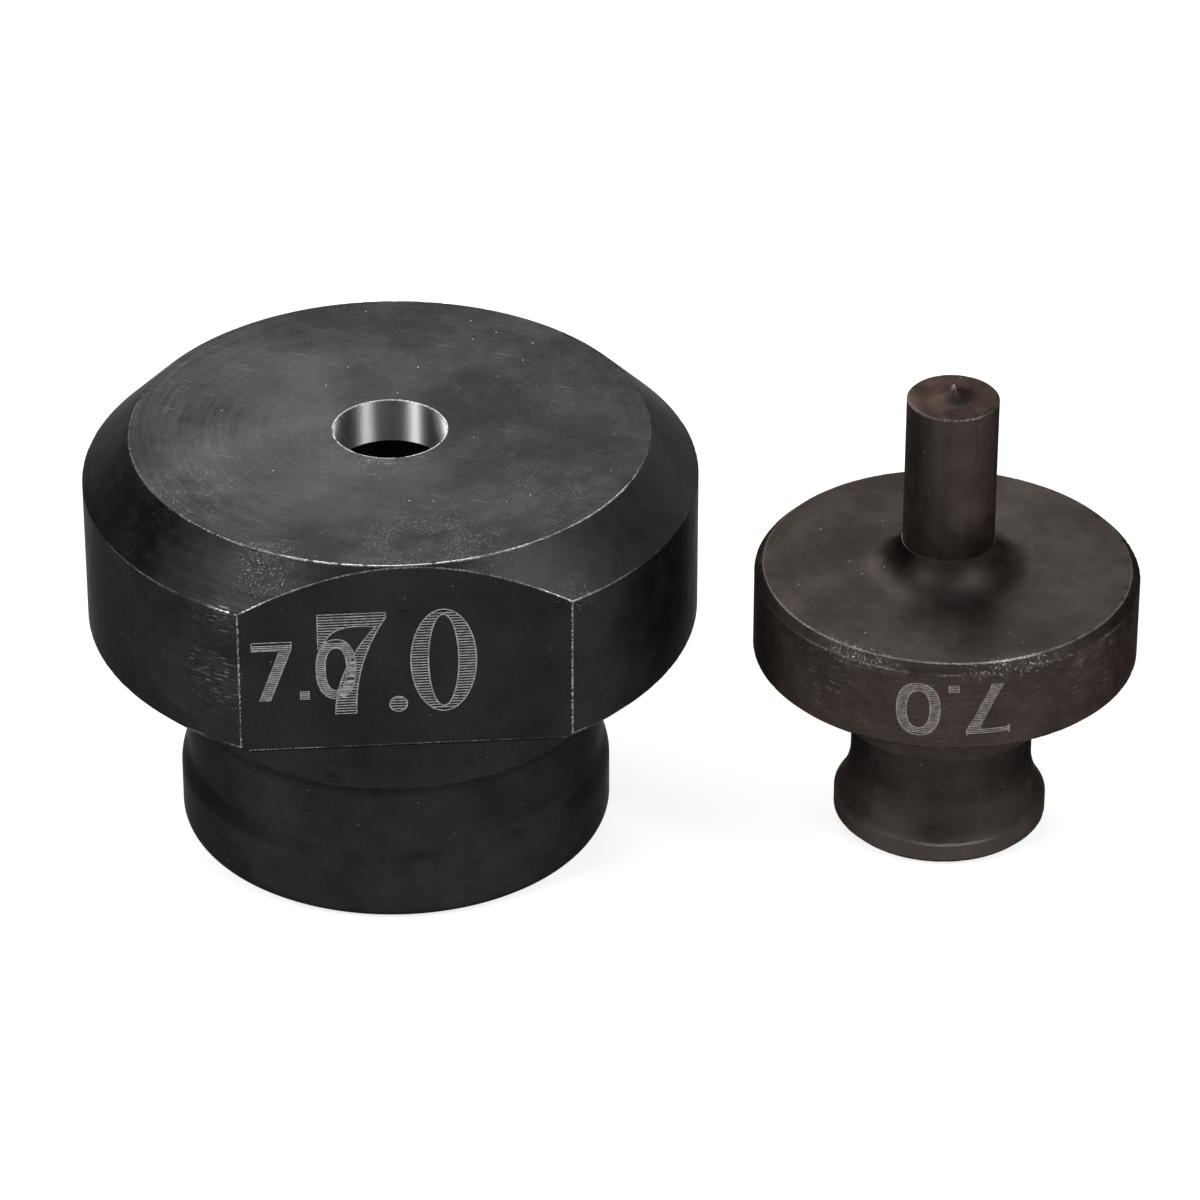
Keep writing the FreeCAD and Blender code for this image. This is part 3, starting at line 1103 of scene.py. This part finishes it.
def white_floor():
    """White that shows as white, with part of its light left to the lamps so shadows show."""
    material = bpy.data.materials.new("white_table")
    material.use_nodes = True
    tree = Tree(material.node_tree)
    tree.tree.nodes.clear()
    matt = tree.add("ShaderNodeBsdfDiffuse", {"Color": (0.3, 0.3, 0.3, 1.0)})
    glow = tree.add("ShaderNodeEmission", {"Color": (1.0, 1.0, 1.0, 1.0), "Strength": 0.78})
    both = tree.add("ShaderNodeAddShader", (matt, glow))
    plain = tree.add("ShaderNodeBsdfDiffuse", {"Color": (0.8, 0.8, 0.8, 1.0)})
    pick = tree.add("ShaderNodeMixShader", (seen_directly(tree), plain, both))
    tree.add("ShaderNodeOutputMaterial", (pick,))
    return material


floor_half = 3.0
floor_drop = 0.00005
floor_mesh = bpy.data.meshes.new("table_top")
floor_corners = [(-1, -1), (1, -1), (1, 1), (-1, 1)]
floor_points = [(x * floor_half, y * floor_half, -floor_drop) for x, y in floor_corners]
floor_mesh.from_pydata(floor_points, [], [(0, 1, 2, 3)])
floor_mesh.materials.append(white_floor())
in_scene("table_top", floor_mesh)

fill_light = 0.45
room_from, room_to = 0.05, 0.5
room_light = 0.035
darker_above, darker_in_front, darker_beside = 0.75, 0.5, 0.6
world = bpy.data.worlds.new("studio")
bpy.context.scene.world = world
world.use_nodes = True
sky = Tree(world.node_tree)
sky.tree.nodes.clear()
white = sky.add("ShaderNodeBackground", {"Color": (1.0, 1.0, 1.0, 1.0), "Strength": 1.0})
dim = sky.add("ShaderNodeBackground", {"Color": (1.0, 1.0, 1.0, 1.0), "Strength": fill_light})
# A reflection sees the white backdrop behind the table, and a darker room above, beside and in front.
towards = sky.split(sky.add("ShaderNodeTexCoord").outputs["Generated"])
facing = sky.math("SUBTRACT", sky.times(towards[2], darker_above), sky.times(towards[1], darker_in_front))
facing = sky.plus(facing, sky.times(towards[0], towards[0], darker_beside))
room = sky.ramp(facing, room_from, room_to, 1.0, room_light)
paths = sky.add("ShaderNodeLightPath").outputs
reflected = sky.times(paths["Is Glossy Ray"], sky.off(paths["Is Camera Ray"]))
sky.feed(white.inputs["Strength"], sky.mix(reflected, 1.0, room))
air = sky.add("ShaderNodeMixShader", (seen_directly(sky), dim, white))
sky.add("ShaderNodeOutputWorld", (air,))

# Lamps
# Softboxes round the table: one behind and above, two tall narrow ones at the front, which draw
# the streaks in the bore, and a weak one low at the back right.

lamps_aim = (0.015, 0.0, 0.015)


def softbox(name, azimuth, elevation, distance, width, height, brightness):
    """A flat lamp that faces the pair, placed by its bearing from the front and its height."""
    lamp = bpy.data.lights.new(name, "AREA")
    lamp.shape = "RECTANGLE"
    lamp.size = width
    lamp.size_y = height
    lamp.energy = brightness * math.pi * width * height
    turn, rise = math.radians(azimuth), math.radians(elevation)
    out = Vector((math.sin(turn) * math.cos(rise), -math.cos(turn) * math.cos(rise), math.sin(rise)))
    lit = in_scene(name, lamp)
    lit.location = Vector(lamps_aim) + out * distance
    lit.rotation_euler = out.to_track_quat("Z", "Y").to_euler()


softbox("softbox_back", -165, 40, 0.28, 0.26, 0.18, 6.0)
softbox("softbox_left", -60, 42, 0.8, 0.1, 0.35, 28.0)
softbox("softbox_far_right", 140, 14, 0.8, 0.3, 0.25, 1.5)
softbox("softbox_right", 49, 42, 0.8, 0.1, 0.35, 23.0)

# Camera
# It looks down on the pair from a little to the left, through a long lens.

photo_lens = 189.18
photo_azimuth = math.radians(-4.685)
photo_elevation = math.radians(31.955)
photo_roll = math.radians(0.11)
camera_place = Vector((-0.01518, -0.35183, 0.23518))

lens = bpy.data.cameras.new("photo_camera")
lens.sensor_width = 36.0
lens.sensor_fit = "HORIZONTAL"
lens.lens = photo_lens
lens.clip_start = 0.01
camera = in_scene("photo_camera", lens)
back = Vector((
    math.sin(photo_azimuth) * math.cos(photo_elevation),
    -math.cos(photo_azimuth) * math.cos(photo_elevation),
    math.sin(photo_elevation),
))
level = Vector((math.cos(photo_azimuth), math.sin(photo_azimuth), 0.0))
upright = back.cross(level)
right = math.cos(photo_roll) * level + math.sin(photo_roll) * upright
up = math.cos(photo_roll) * upright - math.sin(photo_roll) * level
camera.matrix_world = Matrix.Translation(camera_place) @ Matrix((right, up, back)).transposed().to_4x4()
bpy.context.scene.camera = camera
bpy.context.scene.view_settings.view_transform = "Standard"
